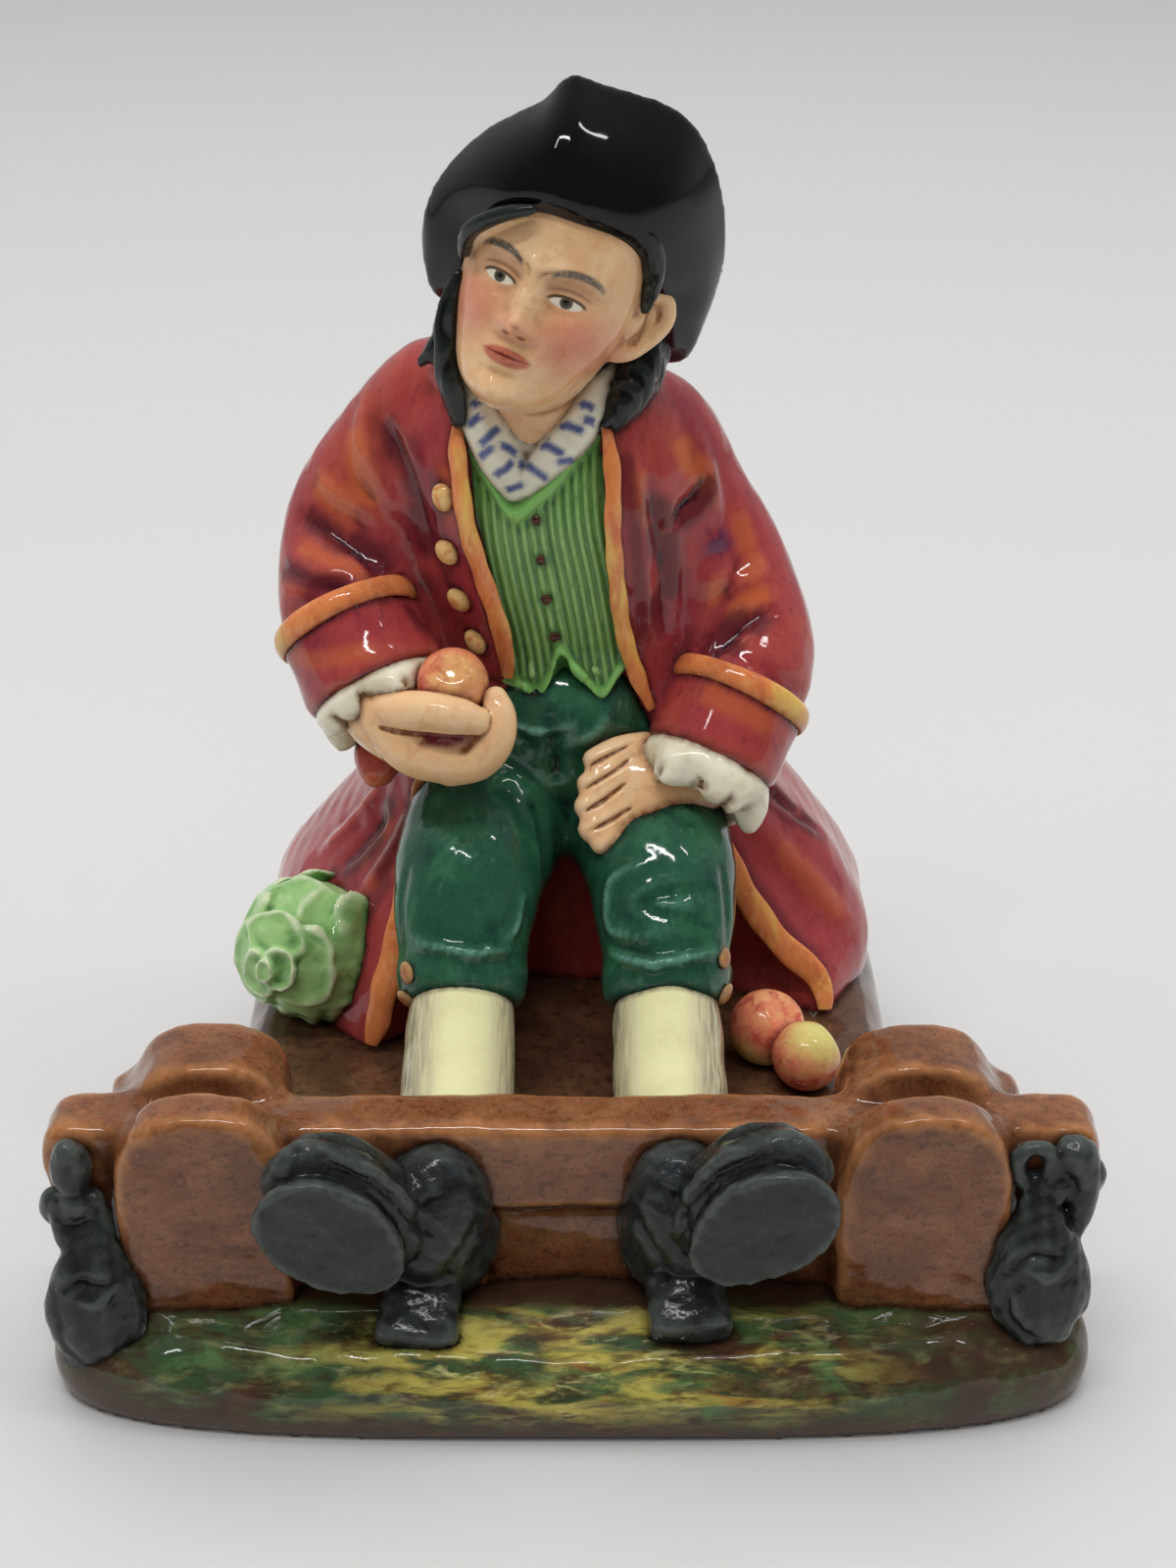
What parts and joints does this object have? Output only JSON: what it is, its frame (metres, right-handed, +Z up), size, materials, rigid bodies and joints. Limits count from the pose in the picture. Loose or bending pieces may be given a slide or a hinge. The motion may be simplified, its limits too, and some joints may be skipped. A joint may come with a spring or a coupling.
{
  "type": "figurine of man in stocks",
  "caption": "Glazed ceramic figurine: a man in a long coat and cocked hat sits with both legs through wooden stocks, on a grassy base with fruit and a cabbage.",
  "frame": {"origin": "middle of the underside, on the surface it stands on", "axes": "+Z up, -Y the side the feet stick out of, +X to the right of someone who faces the figure"},
  "size_m": [0.125, 0.105, 0.1445],
  "materials": {
    "glazed_body": "cast earthenware, painted by hand under a clear high-gloss glaze; reds, greens and browns"
  },
  "bodies": {
    "root": {"figurine": "glazed_body"}
  },
  "joints": []
}
